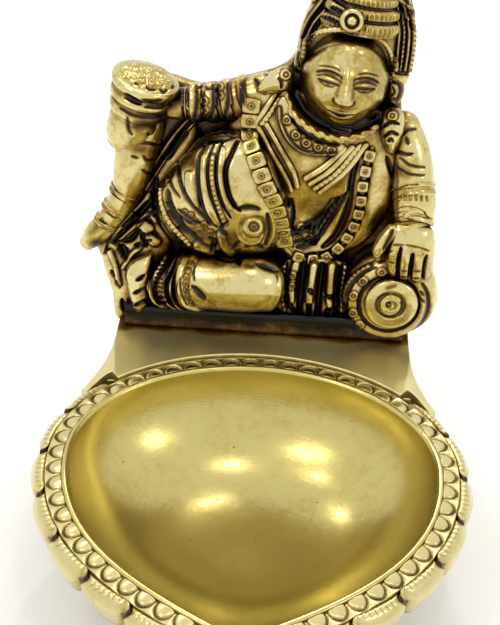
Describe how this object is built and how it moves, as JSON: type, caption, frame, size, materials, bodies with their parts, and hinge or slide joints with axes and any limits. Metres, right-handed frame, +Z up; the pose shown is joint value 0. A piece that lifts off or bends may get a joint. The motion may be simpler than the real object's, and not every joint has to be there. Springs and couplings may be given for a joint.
{
  "type": "figural oil lamp",
  "caption": "Cast brass oil lamp: leaf-shaped oil bowl with a petal border, flat ledge and a relief plate with a reclining figure.",
  "frame": {"origin": "on the ground, on the foot's flat underside, below the middle of the bowl's widest line", "axes": "+Z up, +Y from the bowl's tip towards the figure, +X to the right of someone who faces the figure"},
  "size_m": [0.0918, 0.1204, 0.1168],
  "materials": {
    "satin_brass": "brushed satin",
    "polished_brass": "buffed on the raised parts",
    "aged_brass": "antiqued, brown in the hollows",
    "blackened_brass": "blackened, matt"
  },
  "bodies": {
    "root": {"bowl_shell": "satin_brass", "ledge": "satin_brass", "foot": "satin_brass", "arch_border": "polished_brass", "petal_border": "polished_brass", "head": "polished_brass", "belly": "polished_brass", "left_leg": "polished_brass", "left_foot": "polished_brass", "bolster_cap": "polished_brass", "left_hand": "polished_brass", "money_pot": "polished_brass", "pot_coins": "polished_brass", "right_leg": "polished_brass", "right_foot": "polished_brass", "torso": "polished_brass", "left_arm": "polished_brass", "crown_jewel": "polished_brass", "right_ear": "polished_brass", "left_ear": "polished_brass", "right_earring": "polished_brass", "left_earring": "polished_brass", "rope_necklace": "polished_brass", "collar": "polished_brass", "garland": "polished_brass", "right_sash": "polished_brass", "left_sash": "polished_brass", "belly_hem": "polished_brass", "rosette": "polished_brass", "right_armlets": "polished_brass", "left_armlets": "polished_brass", "right_anklets": "polished_brass", "left_cuffs": "polished_brass", "back_plate": "aged_brass", "bolster": "aged_brass", "right_arm": "aged_brass", "hair": "aged_brass", "crown": "aged_brass", "front_pleats": "aged_brass", "side_folds": "aged_brass", "seat": "blackened_brass"}
  },
  "joints": []
}
